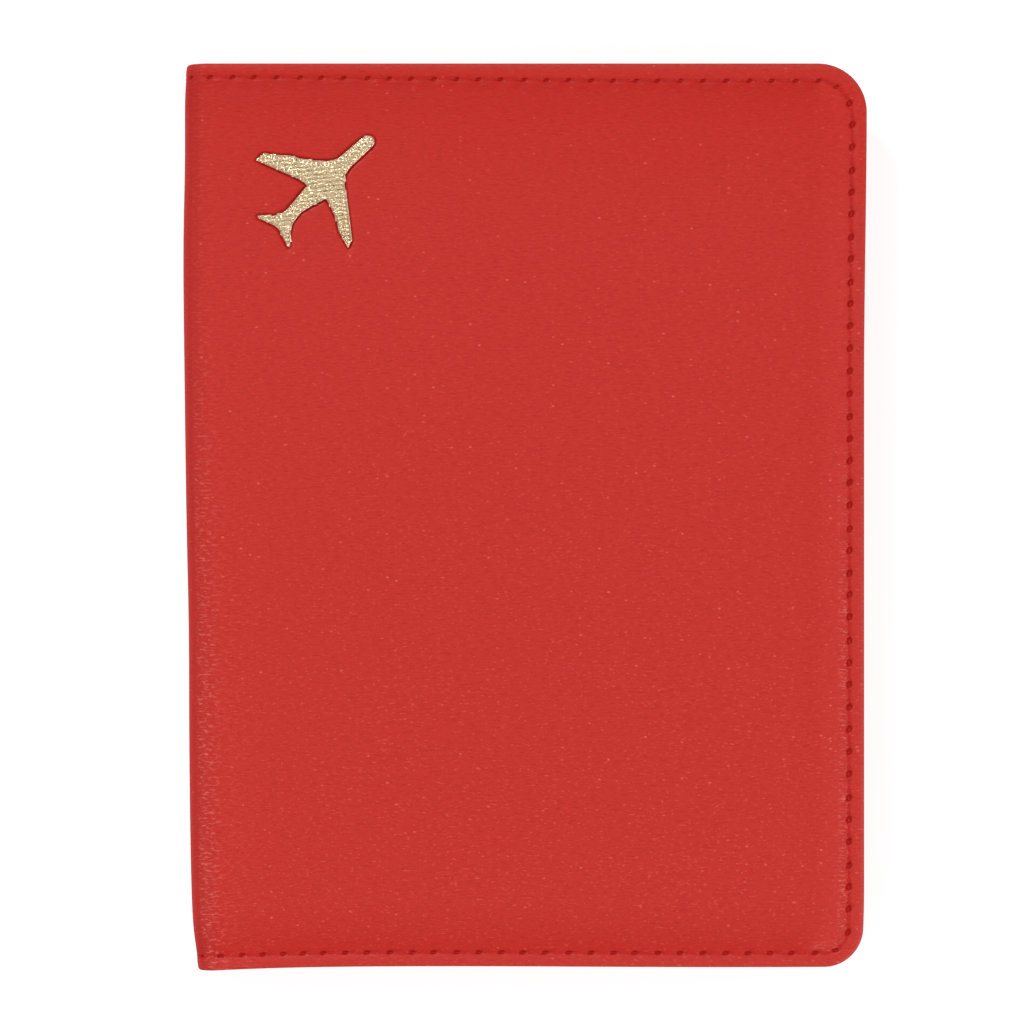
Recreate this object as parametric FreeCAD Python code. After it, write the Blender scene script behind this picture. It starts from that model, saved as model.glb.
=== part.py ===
"""Passport holder wallet: two stiffened leatherette covers on a soft spine, with sleeves and card pockets.

The holder lies closed on its back cover. +X points from the spine to the fore edge, +Y to the head of the
covers and +Z up out of the front cover. The origin is on the resting face, under the middle of the closed
holder. Each cover is a stack of flat layers, and a layer's depth is counted inwards from that cover's outer
face. The outer leatherette, its turned-in margin and the lining are single sheets in the real holder, but
are cut here at the two folds of the spine, because the back cover, the spine and the front cover move apart.
"""
import FreeCAD
import Part

import os

# Driving dimensions, in millimetres.
WIDTH = 105.0  # closed, from the face of the spine to the fore edge
HEIGHT = 140.0  # head to tail
HEAD_CORNER_R = 8.0
TAIL_CORNER_R = 6.0
BOOKLET_GAP = 4.3  # room between the covers for a passport booklet

SKIN_T = 0.8  # outer leatherette
BOARD_T = 0.7  # stiffening board, level with the leatherette's turned-in margin
LINING_T = 0.25
SLEEVE_GAP = 0.75  # room for one passport cover behind a sleeve
SLEEVE_T = 0.6
POCKET_GAP = 0.85  # room for one bank card behind a pocket
POCKET_T = 0.45

TURNED_MARGIN = 6.0  # width of the leatherette turned in round the board
INNER_INSET = 0.8  # lining and sleeves stop short of the outer edge by this much
HEM_WIDTH = 4.0  # turned hem that holds a sleeve or pocket off the layer behind it
SIDE_HEM_WIDTH = 3.0  # the same on a card pocket's spine side and foot
BOARD_CLEARANCE = 0.2
BOARD_START_X = -47.5  # spine edge of both boards
LAYER_START_X = -50.9  # spine edge of the margins and of the linings
FOLD_CLEARANCE = 0.05

BACK_SLEEVE_X = -10.0  # free edge of the back cover's sleeve
FRONT_SLEEVE_X = -44.0  # free edge of the front cover's sleeve and pockets
LOWER_POCKET_TOP = -22.0
UPPER_POCKET_FOOT = -10.0  # clear of a bank card in the lower pocket
UPPER_POCKET_TOP = 38.0

SEAM_INSET = 2.2  # outer edge to the middle of the seam
THREAD_W = 0.5
NEEDLE_DEPTH = 0.3  # thread sunk into the outer face
BOBBIN_DEPTH = 0.15  # thread sunk into the inner faces

EMBLEM_T = 0.5
EMBLEM_CENTRE = (-32.0, 50.7)
EMBLEM_ANGLE = 42.0  # nose direction, in degrees from +X
EMBLEM_BACKING = 25.0  # side of the stabiliser square behind the embroidery
BACKING_T = 0.12

# Depths of each layer's inner face below its cover's outer face.
BOARD_END = SKIN_T + BOARD_T
LINING_END = BOARD_END + LINING_T
SLEEVE_START = LINING_END + SLEEVE_GAP
SLEEVE_END = SLEEVE_START + SLEEVE_T
POCKET_START = SLEEVE_END + POCKET_GAP
POCKET_END = POCKET_START + POCKET_T

CLOSED_H = SLEEVE_END + BOOKLET_GAP + POCKET_END
HALF_W = WIDTH / 2
HALF_H = HEIGHT / 2
FOLD_R = SKIN_T / 2  # each fold turns about the middle of the leatherette
FOLD_X = -HALF_W + FOLD_R
COVER_START_X = FOLD_X + FOLD_R + FOLD_CLEARANCE
INNER_EDGE_X = HALF_W - INNER_INSET
INNER_EDGE_Y = HALF_H - INNER_INSET
FAR = 400.0  # longer than anything in the part
DIAGONAL = 0.5 ** 0.5

# The aeroplane's outline from its nose round the left wing: distance along its nose direction, and out to its
# left. It's a little uneven, as sewn.
PLANE_OUTLINE = [
    (11.5, 0.3), (11.0, 0.9), (9.8, 1.2), (5.4, 1.3), (4.1, 1.8), (2.3, 3.6), (0.8, 5.4), (0.1, 6.6),
    (-1.8, 8.4), (-2.6, 9.6), (-4.4, 9.7), (-3.9, 8.5), (-1.5, 3.2), (-1.0, 1.4), (-2.6, 1.2), (-6.0, 0.7),
    (-7.0, 0.9), (-8.0, 1.3), (-9.0, 2.3), (-10.0, 3.1), (-10.1, 2.6), (-9.5, 1.3), (-9.0, 0.1),
    (-8.9, -0.9), (-9.3, -2.2), (-9.7, -3.9), (-9.3, -3.8), (-7.8, -2.2), (-6.5, -1.4), (-4.6, -1.1),
    (-2.3, -1.5), (-0.3, -2.1), (-0.6, -3.4), (-1.3, -5.7), (-2.2, -7.1), (-2.9, -10.1), (-1.7, -9.6),
    (-0.7, -8.2), (3.4, -2.3), (4.4, -1.3), (5.7, -1.0), (9.8, -0.9), (10.9, -0.8), (11.4, -0.4),
]


class Cover:
    """One cover's place: it turns a layer's depth below the outer face into heights."""

    def __init__(self, outer_z, inward):
        self.outer_z = outer_z
        self.inward = inward

    def heights(self, shallow, deep):
        """Lowest and highest z of a layer between two depths."""
        ends = (self.outer_z + self.inward * shallow, self.outer_z + self.inward * deep)
        return min(ends), max(ends)


BACK = Cover(0.0, 1)
FRONT = Cover(CLOSED_H, -1)


def point(x, y, z=0.0):
    return FreeCAD.Vector(x, y, z)


def prism(wire, heights):
    """A plan outline pulled up between two heights."""
    low, high = heights
    face = Part.Face(wire)
    face.translate(point(0, 0, low))
    return face.extrude(point(0, 0, high - low))


def polygon(points, heights):
    """A prism on a polygon given as plan points."""
    corners = [point(x, y) for x, y in points]
    return prism(Part.makePolygon(corners + corners[:1]), heights)


def box(x_range, y_range, z_range):
    lows = [r[0] for r in (x_range, y_range, z_range)]
    sides = [r[1] - r[0] for r in (x_range, y_range, z_range)]
    return Part.makeBox(*sides, point(*lows))


def outline(inset, start_x):
    """A cover's outline, moved in by inset at the head, fore edge and tail, and square at start_x."""
    right = HALF_W - inset
    top = HALF_H - inset
    head_r = HEAD_CORNER_R - inset
    tail_r = TAIL_CORNER_R - inset
    tail_mid = tail_r * (1 - DIAGONAL)
    head_mid = head_r * (1 - DIAGONAL)
    tail_from, tail_to = point(right - tail_r, -top), point(right, -top + tail_r)
    head_from, head_to = point(right, top - head_r), point(right - head_r, top)
    tail_start, head_start = point(start_x, -top), point(start_x, top)
    edges = [
        Part.LineSegment(tail_start, tail_from),
        Part.Arc(tail_from, point(right - tail_mid, -top + tail_mid), tail_to),
        Part.LineSegment(tail_to, head_from),
        Part.Arc(head_from, point(right - head_mid, top - head_mid), head_to),
        Part.LineSegment(head_to, head_start),
        Part.LineSegment(head_start, tail_start),
    ]
    return Part.Wire([e.toShape() for e in edges])


def sheet(inset, start_x, heights):
    return prism(outline(inset, start_x), heights)


def margin_strips(inset, width, start_x, heights):
    """Head, fore-edge and tail strips inside a cover's outline, mitred at the corners."""
    whole = sheet(inset, start_x, heights)
    x, y = HALF_W - inset - width, HALF_H - inset - width
    head = [(start_x, y), (x, y), (x + FAR, y + FAR), (start_x, y + FAR)]
    fore = [(x, -y), (x + FAR, -y - FAR), (x + FAR, y + FAR), (x, y)]
    tail = [(px, -py) for px, py in reversed(head)]
    return [whole.common(polygon(region, heights)) for region in (head, fore, tail)]


def seam_band(start_x, heights):
    """The thread's run round a cover's head, fore edge and tail, at the seam's inset."""
    outer = sheet(SEAM_INSET - THREAD_W / 2, start_x, heights)
    inner = sheet(SEAM_INSET + THREAD_W / 2, start_x - 1, heights)
    return outer.cut(inner)


def inlay(plate, band):
    """Sinks a run of thread into a plate, and returns the grooved plate and the thread."""
    return plate.cut(band), plate.common(band)


def compound(shapes):
    """One compound of every solid in some shapes."""
    return Part.makeCompound([solid for shape in shapes for solid in shape.Solids])


def cover_shell(cover):
    """The outer leatherette with its needle thread, and the turned-in margin."""
    skin = sheet(0, COVER_START_X, cover.heights(0, SKIN_T))
    band = seam_band(COVER_START_X, cover.heights(0, NEEDLE_DEPTH))
    skin, thread = inlay(skin, band)
    margin = margin_strips(0, TURNED_MARGIN, LAYER_START_X, cover.heights(SKIN_T, BOARD_END))
    return skin, thread, margin


def stiffening_board(cover):
    gap = TURNED_MARGIN + BOARD_CLEARANCE
    x_range = (BOARD_START_X, HALF_W - gap)
    y_range = (-HALF_H + gap, HALF_H - gap)
    return box(x_range, y_range, cover.heights(SKIN_T, BOARD_END))


def lining_and_thread(cover, sleeve_x):
    """The lining, with the bobbin thread that shows between the spine and the sleeve's free edge."""
    lining = sheet(INNER_INSET, LAYER_START_X, cover.heights(BOARD_END, LINING_END))
    band = seam_band(LAYER_START_X, cover.heights(LINING_END - BOBBIN_DEPTH, LINING_END))
    shown = box((LAYER_START_X, sleeve_x), (-HALF_H, HALF_H), (0, CLOSED_H))
    return inlay(lining, band.common(shown))


def sleeve_hem(cover, sleeve_x):
    """The three turned hems that leave room for a passport cover behind the sleeve."""
    return margin_strips(INNER_INSET, HEM_WIDTH, sleeve_x, cover.heights(LINING_END, SLEEVE_START))


def sleeve_plate(cover, sleeve_x):
    return sheet(INNER_INSET, sleeve_x, cover.heights(SLEEVE_START, SLEEVE_END))


def edge_run(x, y_range, heights):
    """A straight run of thread down a free edge."""
    return box((x - THREAD_W / 2, x + THREAD_W / 2), y_range, heights)


def back_cover():
    skin, needle, margin = cover_shell(BACK)
    lining, lining_thread = lining_and_thread(BACK, BACK_SLEEVE_X)
    face = BACK.heights(SLEEVE_END - BOBBIN_DEPTH, SLEEVE_END)
    sleeve, sleeve_thread = inlay(sleeve_plate(BACK, BACK_SLEEVE_X), seam_band(BACK_SLEEVE_X, face))
    stop = HALF_H - SEAM_INSET - THREAD_W
    sleeve, edge_thread = inlay(sleeve, edge_run(BACK_SLEEVE_X + SEAM_INSET, (-stop, stop), face))
    return {
        "back_cover_skin": skin,
        "back_turned_margin": margin,
        "back_board": stiffening_board(BACK),
        "back_lining": lining,
        "back_sleeve_hem": sleeve_hem(BACK, BACK_SLEEVE_X),
        "back_passport_sleeve": sleeve,
        "back_needle_thread": needle,
        "back_bobbin_thread": [lining_thread, sleeve_thread],
        "back_sleeve_edge_thread": edge_thread,
    }


def spine():
    """The leatherette strip between the two folds, rounded about each fold's axis, and its lining."""
    low, high = FOLD_R, CLOSED_H - FOLD_R
    strip = box((FOLD_X - FOLD_R, FOLD_X + FOLD_R), (-HALF_H, HALF_H), (low, high))
    for z in (low, high):
        bead = Part.makeCylinder(FOLD_R, HEIGHT, point(FOLD_X, -HALF_H, z), point(0, 1, 0))
        strip = strip.fuse(bead)
    strip = strip.removeSplitter()
    face_x = FOLD_X + FOLD_R
    lining = box(
        (face_x, face_x + LINING_T), (-INNER_EDGE_Y, INNER_EDGE_Y), (LINING_END, CLOSED_H - LINING_END)
    )
    needle, bobbin = [], []
    for side in (-1, 1):
        y = side * (HALF_H - SEAM_INSET)
        y_range = (y - THREAD_W / 2, y + THREAD_W / 2)
        strip, run = inlay(strip, box((-HALF_W, -HALF_W + NEEDLE_DEPTH), y_range, (low, high)))
        needle.append(run)
        inner_x = face_x + LINING_T
        lining, run = inlay(lining, box((inner_x - BOBBIN_DEPTH, inner_x), y_range, (0, CLOSED_H)))
        bobbin.append(run)
    return {
        "spine_skin": strip,
        "spine_lining": lining,
        "spine_needle_thread": needle,
        "spine_bobbin_thread": bobbin,
    }


def card_pocket(y_foot, y_top, foot_on_seam):
    """A pocket plate and its hems. The foot runs into the tail seam, or has a hem and a seam of its own."""
    hem_z = FRONT.heights(SLEEVE_END, POCKET_START)
    plate_z = FRONT.heights(POCKET_START, POCKET_END)
    face_z = FRONT.heights(POCKET_END - BOBBIN_DEPTH, POCKET_END)
    zone = box((FRONT_SLEEVE_X, HALF_W), (y_foot, y_top), (0, CLOSED_H))
    _, fore, tail = margin_strips(INNER_INSET, HEM_WIDTH, FRONT_SLEEVE_X, hem_z)
    side_x = (FRONT_SLEEVE_X, FRONT_SLEEVE_X + SIDE_HEM_WIDTH)
    if foot_on_seam:
        foot_hem = tail
        hem_foot_y = -INNER_EDGE_Y + HEM_WIDTH
    else:
        foot_x = (FRONT_SLEEVE_X, INNER_EDGE_X - HEM_WIDTH)
        foot_hem = box(foot_x, (y_foot, y_foot + SIDE_HEM_WIDTH), hem_z)
        hem_foot_y = y_foot + SIDE_HEM_WIDTH
    hems = [box(side_x, (hem_foot_y, y_top), hem_z), fore.common(zone), foot_hem]

    plate = sheet(INNER_INSET, FRONT_SLEEVE_X, plate_z).common(zone)
    plate, seam_thread = inlay(plate, seam_band(FRONT_SLEEVE_X, face_z).common(zone))
    inset = SIDE_HEM_WIDTH / 2
    seam_y = -HALF_H + SEAM_INSET if foot_on_seam else y_foot + inset
    own = edge_run(FRONT_SLEEVE_X + inset, (seam_y + THREAD_W / 2, y_top), face_z)
    if not foot_on_seam:
        foot_x = (FRONT_SLEEVE_X + inset - THREAD_W / 2, HALF_W - SEAM_INSET - THREAD_W / 2)
        own = own.fuse(box(foot_x, (seam_y - THREAD_W / 2, seam_y + THREAD_W / 2), face_z))
    plate, own_thread = inlay(plate, own.removeSplitter())
    return plate, hems, seam_thread, own_thread


def aeroplane(heights):
    """The embroidered aeroplane's outline as a prism on the front cover."""
    shape = polygon(PLANE_OUTLINE, heights)
    shape.rotate(point(0, 0), point(0, 0, 1), EMBLEM_ANGLE)
    shape.translate(point(*EMBLEM_CENTRE))
    return shape


def front_cover():
    skin, needle, margin = cover_shell(FRONT)
    lining, lining_thread = lining_and_thread(FRONT, FRONT_SLEEVE_X)
    lower, lower_hems, lower_seam, lower_own = card_pocket(-INNER_EDGE_Y, LOWER_POCKET_TOP, True)
    upper, upper_hems, upper_seam, upper_own = card_pocket(UPPER_POCKET_FOOT, UPPER_POCKET_TOP, False)
    face = FRONT.heights(SLEEVE_END - BOBBIN_DEPTH, SLEEVE_END)
    band = seam_band(FRONT_SLEEVE_X, face)
    for covered in ((-HALF_H, LOWER_POCKET_TOP), (UPPER_POCKET_FOOT, UPPER_POCKET_TOP)):
        band = band.cut(box((FRONT_SLEEVE_X - 1, HALF_W), covered, (0, CLOSED_H)))
    sleeve, sleeve_thread = inlay(sleeve_plate(FRONT, FRONT_SLEEVE_X), band)

    half = EMBLEM_BACKING / 2
    x, y = EMBLEM_CENTRE
    backing = box((x - half, x + half), (y - half, y + half), FRONT.heights(SKIN_T, SKIN_T + BACKING_T))
    backing = backing.common(stiffening_board(FRONT))
    return {
        "front_cover_skin": skin,
        "plane_embroidery": aeroplane(FRONT.heights(-EMBLEM_T, 0)),
        "embroidery_backing": backing,
        "front_turned_margin": margin,
        "front_board": stiffening_board(FRONT).cut(backing),
        "front_lining": lining,
        "front_sleeve_hem": sleeve_hem(FRONT, FRONT_SLEEVE_X),
        "front_passport_sleeve": sleeve,
        "lower_card_pocket_hem": lower_hems,
        "lower_card_pocket": lower,
        "upper_card_pocket_hem": upper_hems,
        "upper_card_pocket": upper,
        "front_needle_thread": needle,
        "front_bobbin_thread": [lining_thread, sleeve_thread, lower_seam, upper_seam],
        "card_pocket_thread": [lower_own, upper_own],
    }


def main():
    os.makedirs("parts", exist_ok=True)
    for group in (back_cover(), spine(), front_cover()):
        for node, shape in group.items():
            node_shape = compound(shape if isinstance(shape, list) else [shape])
            node_shape.exportStep(f"parts/{node}.step")
            print(f"{node:26s} solids {len(node_shape.Solids)}  volume {node_shape.Volume:9.1f}")
    print(f"closed height {CLOSED_H:.2f}, fold axes at x {FOLD_X:.2f}")
    print(f"fold axes at z {FOLD_R:.2f} and {CLOSED_H - FOLD_R:.2f}")


main()
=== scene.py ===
"""The looks of the passport holder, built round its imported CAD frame.

A place on the holder is given in millimetres in the unrolled plan of one cover: along runs over the outer
face from the middle of the spine, round the fold and over the cover to the fore edge, y runs up the page, and
out is the height above the outer face. wrap() turns such places into points of the row frame.
"""

import math

import bmesh
import bpy
import numpy as np
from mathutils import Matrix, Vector
from mathutils.geometry import delaunay_2d_cdt


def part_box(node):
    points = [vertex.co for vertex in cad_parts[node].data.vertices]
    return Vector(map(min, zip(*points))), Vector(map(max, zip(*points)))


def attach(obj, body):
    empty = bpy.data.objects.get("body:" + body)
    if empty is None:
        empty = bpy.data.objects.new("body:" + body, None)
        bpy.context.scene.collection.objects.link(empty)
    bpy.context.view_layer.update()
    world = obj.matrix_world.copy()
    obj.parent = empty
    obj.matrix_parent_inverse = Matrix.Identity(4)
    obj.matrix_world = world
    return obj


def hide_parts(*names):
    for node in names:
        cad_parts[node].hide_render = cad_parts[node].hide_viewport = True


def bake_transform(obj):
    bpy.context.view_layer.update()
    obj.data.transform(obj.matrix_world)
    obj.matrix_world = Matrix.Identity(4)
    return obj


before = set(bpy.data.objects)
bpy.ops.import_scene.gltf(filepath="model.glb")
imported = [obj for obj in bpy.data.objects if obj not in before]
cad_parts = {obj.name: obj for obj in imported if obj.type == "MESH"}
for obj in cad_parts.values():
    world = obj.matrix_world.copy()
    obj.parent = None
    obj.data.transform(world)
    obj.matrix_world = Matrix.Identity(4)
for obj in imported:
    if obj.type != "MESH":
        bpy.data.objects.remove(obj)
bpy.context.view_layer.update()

MM = 0.001
QUARTER = math.pi / 2
SIDES = ("front", "back")


def box_mm(node):
    low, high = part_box(node)
    return np.array(low) / MM, np.array(high) / MM


def thickness_of(node):
    low, high = box_mm(node)
    return high[2] - low[2]


# Sizes read from the CAD frame, in millimetres.
HALF_W, HALF_H, CLOSED_H = box_mm("front_cover_skin")[1]
SKIN_T = CLOSED_H - box_mm("front_cover_skin")[0][2]
COVER_T = CLOSED_H - box_mm("front_turned_margin")[0][2]  # outer face to the margin's inner face
LINING_FACE = CLOSED_H - box_mm("front_lining")[0][2]
LINING_INSET = HALF_W - box_mm("front_lining")[1][0]
SLEEVE_T = thickness_of("front_passport_sleeve")
SLEEVE_GAP = thickness_of("front_sleeve_hem")
POCKET_T = thickness_of("lower_card_pocket")
POCKET_GAP = thickness_of("lower_card_pocket_hem")
POCKETS = {  # foot and top
    level: [edge[1] for edge in box_mm(f"{level}_card_pocket")] for level in ("lower", "upper")
}
CAD_THREAD_W = 0.5
SEAM_INSET = HALF_W - (box_mm("front_needle_thread")[1][0] - CAD_THREAD_W / 2)

# Sizes of the soft shape, in millimetres.
HEAD_R = 7.6
TAIL_R = 6.0
FOLD_R = 3.2  # rounding of the outer face between a cover and the spine
SPINE_BULGE = 0.5
STITCH = 3.47
THREAD_R = 0.19
INNER_THREAD_R = 0.17
POCKET_SEAM_INSET = 1.5
EDGE_ROLL = 0.6  # width of the rounded edge seen from above
SEWN_DOWN = 0.02  # gap behind a sleeve or pocket at its sewn edges

STRAIGHT = CLOSED_H / 2 - FOLD_R  # half of the spine's straight part
FOLD_ARC = FOLD_R * QUARTER
FLAT_FROM = STRAIGHT + FOLD_ARC  # where the flat cover begins, along the outer face
FLAT_X = -HALF_W + FOLD_R
FORE = FLAT_FROM + HALF_W - FLAT_X  # the fore edge, along the outer face


def along_of(x):
    """Distance along the outer face of a place on the flat cover."""
    return FLAT_FROM + x - FLAT_X


def x_of(along):
    """The other way round."""
    return along - FLAT_FROM + FLAT_X


SLEEVE_START = {side: along_of(box_mm(f"{side}_passport_sleeve")[0][0]) for side in SIDES}


def smooth(low, high, value):
    """0 below low, 1 above high and a soft slope between them."""
    t = np.clip((value - low) / (high - low), 0, 1)
    return t * t * (3 - 2 * t)


def hump(value, centre, width):
    return np.exp(-(((value - centre) / width) ** 2))


def normalised(vectors, least=0.0):
    return vectors / np.maximum(np.linalg.norm(vectors, axis=-1, keepdims=True), least)


def add_object(name, data):
    made = bpy.data.objects.new(name, data)
    bpy.context.scene.collection.objects.link(made)
    return made


# ---- shape of the sewn holder


def slack(x, y, side):
    """The small ways in which the sewn holder leaves its straight outline."""
    drawn_in = 0.85 * np.exp(-(HALF_H - np.abs(y)) / 6)  # at the spine's ends
    dents = 0.42 * hump(y, 57, 12) + 0.17 * hump(y, -18, 14) + 0.2 * hump(y, -68, 4)
    spine = 0.1 - 0.0125 * y + drawn_in + dents
    fore = 0.13 + 0.42 * smooth(20, 66, y) - 0.25 * smooth(-58, -70, y)
    peep = smooth(15, 38, x) - smooth(44, 49, x) if side == "back" else 0.0
    head = -0.03 + 0.38 * peep
    sag = 0.7 * np.exp(-np.maximum(x + HALF_W, 0) / 11)  # of the spine's foot
    tail = 0.08 * np.cos((x + 16) / 15) - 0.12 - sag
    moved_x = x + spine * (1 - smooth(-50, -25, x)) + fore * smooth(20, 50, x)
    moved_y = y + head * smooth(0.4, 1, y / HALF_H) + tail * smooth(0.4, 1, -y / HALF_H)
    return moved_x, moved_y


def wrap(along, y, out, side):
    """Row-frame points, in metres, of places in the plan of one cover."""
    along, y, out = np.broadcast_arrays(along, y, out)
    turn = np.clip((along - STRAIGHT) / FOLD_R, 0, QUARTER)
    out = out + SPINE_BULGE * (1 - smooth(0, STRAIGHT + FOLD_ARC / 2, np.abs(along)))
    x = -HALF_W + FOLD_R * (1 - np.cos(turn)) + np.maximum(along - FLAT_FROM, 0) - out * np.cos(turn)
    z = CLOSED_H / 2 + np.minimum(along, STRAIGHT) + (FOLD_R + out) * np.sin(turn)
    x, y = slack(x, y, side)
    if side == "back":
        z = CLOSED_H - z
    return np.stack((x, y, z), axis=-1) * MM


def seam_drift(along, y):
    """How much further in than usual the seam runs: it leans in towards the head's fore corner."""
    x = x_of(along)
    head = -0.07 + 0.57 * smooth(-52, 26, x)
    fore = (0.06 + 0.14 * smooth(20, -60, y)) * smooth(-70, -62, y) * smooth(38, 50, x)
    return fore + (head - fore) * smooth(61, 67, y)


def edge_run(s):
    """Outline points and inward directions at distances s along the seam, from head to tail."""
    head_turn_r, tail_turn_r = HEAD_R - SEAM_INSET, TAIL_R - SEAM_INSET
    runs = (FORE - HEAD_R, head_turn_r * QUARTER, 2 * HALF_H - HEAD_R - TAIL_R, tail_turn_r * QUARTER)
    head_end, fore_start, fore_end, tail_start = np.cumsum(runs)
    head_turn = np.clip((s - head_end) / head_turn_r, 0, QUARTER)
    tail_turn = np.clip((s - fore_end) / tail_turn_r, 0, QUARTER)
    turn = head_turn + tail_turn
    outward = np.stack((np.sin(turn), np.cos(turn)), axis=-1)
    in_tail = s > (fore_start + fore_end) / 2
    radius = np.where(in_tail, TAIL_R, HEAD_R)
    centre_y = np.where(in_tail, TAIL_R - HALF_H, HALF_H - HEAD_R)
    centre_y = centre_y - np.where(in_tail, 0, np.clip(s - fore_start, 0, None))
    centre_y = centre_y + np.where(in_tail, np.clip(fore_end - s, 0, None), 0)
    centre_x = FORE - radius - np.clip(head_end - s, 0, None) - np.clip(s - tail_start, 0, None)
    points = np.stack((centre_x, centre_y), axis=-1) + radius[..., None] * outward
    return points, -outward


SEAM_LENGTH = (
    2 * FORE + 2 * HALF_H - 2 * HEAD_R - 2 * TAIL_R + (HEAD_R + TAIL_R - 2 * SEAM_INSET) * QUARTER
)


def inset_of(along, y):
    """Distance from the outline, measured inwards."""
    radius = np.where(y > 0, HEAD_R, TAIL_R)
    side_x, side_y = FORE - along, HALF_H - np.abs(y)
    corner = radius - np.hypot(radius - side_x, radius - side_y)
    in_corner = (side_x < radius) & (side_y < radius)
    return np.where(in_corner, corner, np.minimum(side_x, side_y))


def needle_holes(seed):
    """Distances of the needle holes along the seam line, a little uneven."""
    first, uneven = 1.2, 0.14
    count = round((SEAM_LENGTH - 2 * first) / STITCH)
    rng = np.random.default_rng(seed)
    holes = np.linspace(first, SEAM_LENGTH - first, count + 1)
    holes[1:-1] += rng.uniform(-uneven, uneven, count - 1)
    return holes


def by_edge(s, head, fore, tail):
    """The value for the head, the fore edge or the tail, at distances along the seam."""
    return np.where(s < FORE - HEAD_R + 5, head, np.where(s < SEAM_LENGTH - (FORE - TAIL_R) - 2, fore, tail))


def hole_slots(s):
    """Middles of the needle holes, their long directions, and half their length and width."""
    points, inward = edge_run(s)
    angle = np.radians(by_edge(s, 17, 58, 8))
    long = np.stack((np.cos(angle), np.sin(angle)), axis=-1)
    half = np.stack((by_edge(s, 0.48, 0.56, 0.54), by_edge(s, 0.24, 0.4, 0.25)), axis=-1)
    inset = SEAM_INSET + seam_drift(points[:, 0], points[:, 1])
    return points + inset[:, None] * inward, long, half


HOLES = {side: needle_holes(seed) for seed, side in enumerate(SIDES, 11)}
SLOTS = {side: hole_slots(HOLES[side]) for side in SIDES}


def ripple(along, y, seed):
    """Slow, slight unevenness of the glued leatherette, with none at the fold."""
    rng = np.random.default_rng(seed)
    waves, shortest, longest, swell = 14, 16, 55, 0.028
    height = np.zeros(np.broadcast(along, y).shape)
    for _ in range(waves):
        direction = rng.uniform(0, math.pi)
        length = rng.uniform(shortest, longest)
        phase = rng.uniform(0, 2 * math.pi)
        place = (along * math.cos(direction) + y * math.sin(direction)) * 2 * math.pi / length
        height += np.sin(place + phase) * length / longest
    return swell * height * smooth(12, 30, along)


# ---- mesh helpers


class MeshParts:
    """Collects blocks of vertices and faces, and makes one object of them."""

    def __init__(self):
        self.points, self.plans, self.faces, self.count = [], [], [], 0

    def add(self, points, plan):
        """Adds a block of vertices and returns their indices in its own shape."""
        shape = points.shape[:-1]
        self.points.append(points.reshape(-1, 3))
        self.plans.append(plan.reshape(-1, 3))
        indices = np.arange(self.count, self.count + int(np.prod(shape))).reshape(shape)
        self.count += indices.size
        return indices

    def quads(self, grid, closed=False):
        """Faces over a grid of indices, closed on itself in its second direction if asked."""
        if closed:
            grid = np.concatenate((grid, grid[:, :1]), axis=1)
        corners = (grid[:-1, :-1], grid[1:, :-1], grid[1:, 1:], grid[:-1, 1:])
        self.faces += np.stack(corners, axis=-1).reshape(-1, 4).tolist()

    def halve(self, fine, coarse):
        """Faces between a row of indices and a row with half as many steps."""
        left, middle, right = fine[:-1:2], fine[1::2], fine[2::2]
        near, far = coarse[:-1], coarse[1:]
        for trio in ((left, middle, near), (middle, far, near), (middle, right, far)):
            self.faces += np.stack(trio, axis=-1).tolist()

    def make(self, name, material, merge=0.0, close=False):
        """The finished object. Its edges stay sharp at the middle of the spine."""
        mesh = bpy.data.meshes.new(name)
        mesh.from_pydata(np.concatenate(self.points).tolist(), [], self.faces)
        places = np.concatenate(self.plans).astype(np.float32)
        plan = mesh.attributes.new("plan", "FLOAT_VECTOR", "POINT")
        plan.data.foreach_set("vector", places.ravel())
        from_seam = inset_of(places[:, 0], places[:, 1]) - seam_drift(places[:, 0], places[:, 1])
        inset = mesh.attributes.new("inset", "FLOAT", "POINT")
        inset.data.foreach_set("value", from_seam.astype(np.float32))
        build = bmesh.new()
        build.from_mesh(mesh)
        if merge:
            bmesh.ops.remove_doubles(build, verts=build.verts, dist=merge * MM)
        if close:
            bmesh.ops.holes_fill(build, edges=[e for e in build.edges if e.is_boundary], sides=0)
        bmesh.ops.recalc_face_normals(build, faces=build.faces)
        plan_layer = build.verts.layers.float_vector["plan"]
        for edge in build.edges:
            edge.smooth = any(v[plan_layer].x != 0 for v in edge.verts)
        build.to_mesh(mesh)
        build.free()
        mesh.shade_smooth()
        mesh.materials.append(material)
        return add_object(name, mesh)


def plan_of(along, y, out):
    return np.stack((along, y, out), axis=-1)


def plan_grid(xs, ys):
    """All pairs of the given positions, as rows of plan points."""
    return np.stack(np.meshgrid(xs, ys, indexing="ij"), axis=-1).reshape(-1, 2)


def fill_plan(border, inner):
    """Triangles over a convex border and the points in it, as indices into both together."""
    both = np.concatenate((border, inner))
    found = delaunay_2d_cdt([tuple(p) for p in both], [], [], 0, 1e-7)
    origin = [ids[0] for ids in found[3]]
    return [[origin[i] for i in triangle] for triangle in found[2]]


# ---- materials


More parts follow.
